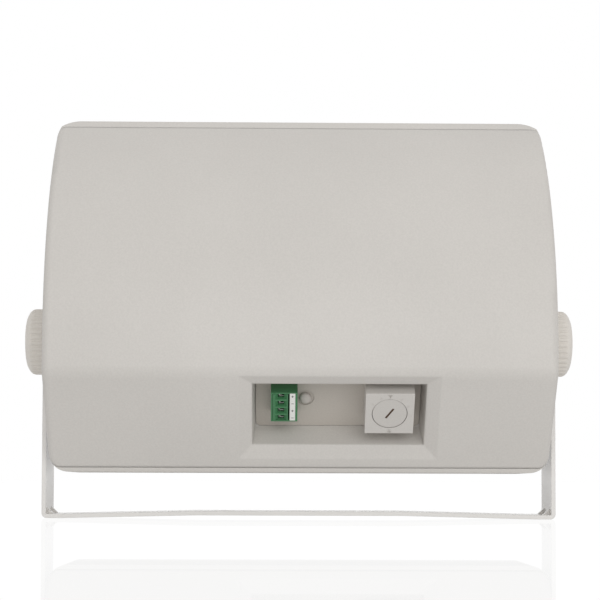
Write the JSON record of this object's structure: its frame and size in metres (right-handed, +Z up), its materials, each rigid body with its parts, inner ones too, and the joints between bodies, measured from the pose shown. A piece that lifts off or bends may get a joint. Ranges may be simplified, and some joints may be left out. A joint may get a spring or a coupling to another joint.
{
  "type": "alarm loudspeaker",
  "caption": "Wall-mount 100 V line alarm loudspeaker: curved-back cabinet clamped in a steel U-bracket by two side knobs, with pluggable terminal and power selector in a rear recess",
  "frame": {"origin": "centre of the underside of the bracket bar's flat central land, in the plane of the two screw slots", "axes": "+Z up along the bracket arms, +X along the clamping-knob axis, +Y towards the curved back with the terminal recess, grille facing -Y"},
  "size_m": [0.3284, 0.1427, 0.2433],
  "materials": {
    "powder_coat": "satin powder coat",
    "abs_light": "fine moulded texture",
    "abs_knob": "fine moulded texture",
    "abs_dial": "smooth matte",
    "abs_dark": "matte",
    "brass": "turned",
    "rubber_grey": "matte",
    "rubber_black": "matte",
    "zinc_steel": "zinc plated",
    "green_pa": "moulded polyamide",
    "tinned": "tinned",
    "label_white": "printed",
    "seal_grey": "soft moulded",
    "cloth_black": "woven",
    "frame_black": "matte black",
    "paper_cone": "pressed pulp",
    "copper": "enamelled wire",
    "cloth_tan": "impregnated cloth",
    "ferrite": "ground ferrite",
    "core_steel": "laminated",
    "board_green": "solder mask",
    "capacitor": "dipped film",
    "wadding": "loose fibre",
    "lead_pvc": "extruded"
  },
  "bodies": {
    "bracket": {"bracket": "powder_coat"},
    "cabinet": {"rear_shell": "abs_light", "front_housing": "abs_light", "left_insert": "brass", "right_insert": "brass", "left_pad": "rubber_grey", "right_pad": "rubber_grey", "terminal_panel": "abs_light", "terminal_header": "green_pa", "header_pins": "tinned", "polarity_label": "label_white", "selector_housing": "abs_light", "switch_body": "abs_dark", "seal_plug": "seal_grey", "panel_screws": "zinc_steel", "cabinet_screws": "zinc_steel", "grille": "powder_coat", "grille_cloth": "cloth_black", "woofer_frame": "frame_black", "woofer_surround": "rubber_black", "woofer_spider": "cloth_tan", "woofer_top_plate": "zinc_steel", "woofer_magnet": "ferrite", "woofer_back_plate": "zinc_steel", "woofer_screws": "zinc_steel", "tweeter_plate": "frame_black", "tweeter_dome": "cloth_black", "tweeter_magnet": "ferrite", "tweeter_yoke": "zinc_steel", "tweeter_top_plate": "zinc_steel", "tweeter_screws": "zinc_steel", "transformer_core": "core_steel", "transformer_winding": "copper", "transformer_frame": "zinc_steel", "crossover_board": "board_green", "inner_screws": "zinc_steel", "crossover_capacitor": "capacitor", "crossover_inductor": "copper", "damping_pad": "wadding", "input_leads": "lead_pvc", "crossover_leads": "lead_pvc"},
    "left_washer": {"left_washer": "zinc_steel"},
    "right_washer": {"right_washer": "zinc_steel"},
    "left_knob": {"left_knob": "abs_knob"},
    "right_knob": {"right_knob": "abs_knob"},
    "cone": {"woofer_cone": "paper_cone", "woofer_dust_cap": "paper_cone", "woofer_voice_coil": "copper"},
    "plug": {"terminal_plug": "green_pa"},
    "dial": {"selector_dial": "abs_dial", "switch_shaft": "abs_dark"},
    "cage_1": {"clamp_cage_1": "tinned"},
    "screw_1": {"clamp_screw_1": "tinned"},
    "cage_2": {"clamp_cage_2": "tinned"},
    "screw_2": {"clamp_screw_2": "tinned"},
    "cage_3": {"clamp_cage_3": "tinned"},
    "screw_3": {"clamp_screw_3": "tinned"},
    "cage_4": {"clamp_cage_4": "tinned"},
    "screw_4": {"clamp_screw_4": "tinned"}
  },
  "joints": [
    {"name": "tilt", "type": "hinge", "parent": "bracket", "child": "cabinet", "pos_m": [0, 0, 0.104], "axis": [1, 0, 0], "range_deg": [-108.7, 91.3]},
    {"name": "left_washer_slide", "type": "slide", "parent": "cabinet", "child": "left_washer", "axis": [-1, 0, 0], "range_m": [0, 0.002]},
    {"name": "left_knob_turn", "type": "hinge", "parent": "left_washer", "child": "left_knob", "pos_m": [-0.16, 0, 0.104], "axis": [-1, 0, 0], "range_deg": [0, 720]},
    {"name": "right_washer_slide", "type": "slide", "parent": "cabinet", "child": "right_washer", "axis": [1, 0, 0], "range_m": [0, 0.002]},
    {"name": "right_knob_turn", "type": "hinge", "parent": "right_washer", "child": "right_knob", "pos_m": [0.16, 0, 0.104], "axis": [1, 0, 0], "range_deg": [0, 720]},
    {"name": "cone_move", "type": "slide", "parent": "cabinet", "child": "cone", "axis": [0, -0.9885, -0.1513], "range_m": [-0.004, 0.004], "stiffness_N_per_m": 2500, "deforming": ["woofer_surround", "woofer_spider"]},
    {"name": "plug_pull", "type": "slide", "parent": "cabinet", "child": "plug", "axis": [0, 0.788, -0.6157], "range_m": [0, 0.016]},
    {"name": "selector_turn", "type": "hinge", "parent": "cabinet", "child": "dial", "pos_m": [-0.052, 0.04682, 0.06001], "axis": [0, 0.788, -0.6157], "range_deg": [-90, 60]},
    {"name": "clamp_screw_1_turn", "type": "hinge", "parent": "plug", "child": "screw_1", "pos_m": [0.015, 0.03295, 0.06028], "axis": [-1, 0, 0], "range_deg": [0, 1080]},
    {"name": "cage_1_slide", "type": "slide", "parent": "plug", "child": "cage_1", "axis": [1, 0, 0], "range_m": [0, 0.0012]},
    {"name": "clamp_screw_2_turn", "type": "hinge", "parent": "plug", "child": "screw_2", "pos_m": [0.015, 0.03608, 0.06429], "axis": [-1, 0, 0], "range_deg": [0, 1080]},
    {"name": "cage_2_slide", "type": "slide", "parent": "plug", "child": "cage_2", "axis": [1, 0, 0], "range_m": [0, 0.0012]},
    {"name": "clamp_screw_3_turn", "type": "hinge", "parent": "plug", "child": "screw_3", "pos_m": [0.015, 0.03921, 0.06829], "axis": [-1, 0, 0], "range_deg": [0, 1080]},
    {"name": "cage_3_slide", "type": "slide", "parent": "plug", "child": "cage_3", "axis": [1, 0, 0], "range_m": [0, 0.0012]},
    {"name": "clamp_screw_4_turn", "type": "hinge", "parent": "plug", "child": "screw_4", "pos_m": [0.015, 0.04234, 0.07229], "axis": [-1, 0, 0], "range_deg": [0, 1080]},
    {"name": "cage_4_slide", "type": "slide", "parent": "plug", "child": "cage_4", "axis": [1, 0, 0], "range_m": [0, 0.0012]}
  ],
  "couplings": [
    {"joint": "left_knob_turn", "follows": "left_washer_slide", "rad_per_m": 6283.2},
    {"joint": "right_knob_turn", "follows": "right_washer_slide", "rad_per_m": 6283.2},
    {"joint": "clamp_screw_1_turn", "follows": "cage_1_slide", "rad_per_m": 15708},
    {"joint": "clamp_screw_2_turn", "follows": "cage_2_slide", "rad_per_m": 15708},
    {"joint": "clamp_screw_3_turn", "follows": "cage_3_slide", "rad_per_m": 15708},
    {"joint": "clamp_screw_4_turn", "follows": "cage_4_slide", "rad_per_m": 15708}
  ]
}
